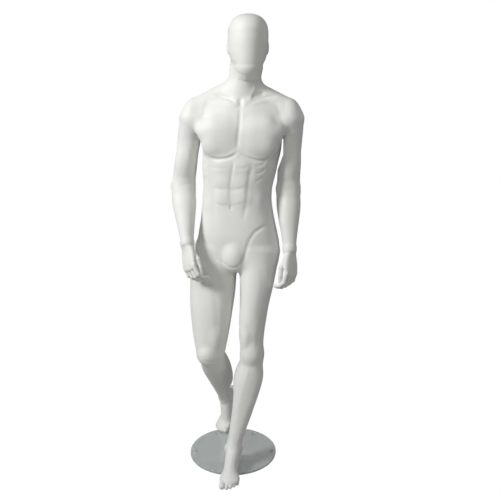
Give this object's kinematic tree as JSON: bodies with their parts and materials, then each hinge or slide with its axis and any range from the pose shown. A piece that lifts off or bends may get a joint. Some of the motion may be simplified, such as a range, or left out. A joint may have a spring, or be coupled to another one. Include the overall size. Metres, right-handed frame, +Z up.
{
  "type": "full body mannequin",
  "caption": "Male full body display mannequin with a plain egg-shaped head, striding on a round glass base; turning head, waist, arms, hands and rear leg.",
  "frame": {"origin": "centre of the round base where its centre pad meets the floor", "axes": "+Z up through the standing figure, the figure faces about -Y, +X is towards its left arm"},
  "size_m": [0.5386, 0.5988, 1.8677],
  "materials": {
    "body": "matt off-white",
    "board": "plain plywood",
    "steel": "brushed zinc-plated steel",
    "glass": "clear tempered glass with a green edge",
    "clear_rubber": "translucent soft rubber"
  },
  "bodies": {
    "base": {"glass_disc": "glass", "centre_pad": "clear_rubber", "rim_bumper_1": "clear_rubber", "rim_bumper_2": "clear_rubber", "rim_bumper_3": "clear_rubber", "rim_bumper_4": "clear_rubber", "rim_bumper_5": "clear_rubber", "rim_bumper_6": "clear_rubber", "upper_gasket": "clear_rubber", "lower_gasket": "clear_rubber", "spigot_washer": "steel", "spigot_nut": "steel", "spigot": "steel"},
    "hips_and_front_leg": {"hips_and_front_leg_shell": "body", "heel_socket_tube": "steel", "waist_stud": "steel", "waist_stud_board": "board", "waist_stud_screw_1": "steel", "waist_stud_screw_2": "steel", "thigh_socket_plate": "steel", "thigh_socket_board": "board", "thigh_socket_screw_1": "steel", "thigh_socket_screw_2": "steel"},
    "rear_leg": {"rear_leg_shell": "body", "thigh_stud": "steel", "thigh_stud_board": "board", "thigh_stud_screw_1": "steel", "thigh_stud_screw_2": "steel"},
    "torso": {"torso_shell": "body", "waist_socket_plate": "steel", "waist_socket_board": "board", "waist_socket_screw_1": "steel", "waist_socket_screw_2": "steel", "neck_socket_plate": "steel", "neck_socket_board": "board", "left_shoulder_socket_plate": "steel", "left_shoulder_socket_board": "board", "right_shoulder_socket_plate": "steel", "right_shoulder_socket_board": "board"},
    "head": {"head_shell": "body", "neck_stud": "steel", "neck_stud_board": "board"},
    "left_arm": {"left_arm_shell": "body", "left_shoulder_stud": "steel", "left_shoulder_stud_board": "board", "left_wrist_socket_plate": "steel", "left_wrist_socket_board": "board"},
    "right_arm": {"right_arm_shell": "body", "right_shoulder_stud": "steel", "right_shoulder_stud_board": "board", "right_wrist_socket_plate": "steel", "right_wrist_socket_board": "board"},
    "left_hand": {"left_hand": "body", "left_wrist_stud": "steel"},
    "right_hand": {"right_hand": "body", "right_wrist_stud": "steel"}
  },
  "joints": [
    {"name": "figure_lift", "type": "slide", "parent": "base", "child": "hips_and_front_leg", "axis": [0, 0, 1], "range_m": [0, 0.105]},
    {"name": "waist_turn", "type": "hinge", "parent": "hips_and_front_leg", "child": "torso", "pos_m": [0.02382, 0.00566, 1.094], "axis": [0, 0, 1], "range_deg": [-8, 20]},
    {"name": "leg_turn", "type": "hinge", "parent": "hips_and_front_leg", "child": "rear_leg", "pos_m": [-0.07974, 0.0007, 0.79321], "axis": [-0.0467, -0.1754, -0.9834], "range_deg": [-30, 30]},
    {"name": "head_turn", "type": "hinge", "parent": "torso", "child": "head", "pos_m": [0.05527, 0.01298, 1.61937], "axis": [0.1137, -0.0361, 0.9929], "range_deg": [-40, 40]},
    {"name": "left_shoulder_turn", "type": "hinge", "parent": "torso", "child": "left_arm", "pos_m": [0.20836, -0.00708, 1.47711], "axis": [0.9954, -0.0958, 0], "range_deg": [-30, 40]},
    {"name": "left_wrist_turn", "type": "hinge", "parent": "left_arm", "child": "left_hand", "pos_m": [0.23486, -0.07032, 0.95173], "axis": [0.0198, -0.3255, -0.9453], "range_deg": [-40, 40]},
    {"name": "right_shoulder_turn", "type": "hinge", "parent": "torso", "child": "right_arm", "pos_m": [-0.12211, 0.02474, 1.47711], "axis": [-0.9954, 0.0958, 0], "range_deg": [0, 40]},
    {"name": "right_wrist_turn", "type": "hinge", "parent": "right_arm", "child": "right_hand", "pos_m": [-0.17571, -0.0797, 0.97828], "axis": [0.0972, -0.5126, -0.8531], "range_deg": [-40, 40]}
  ]
}
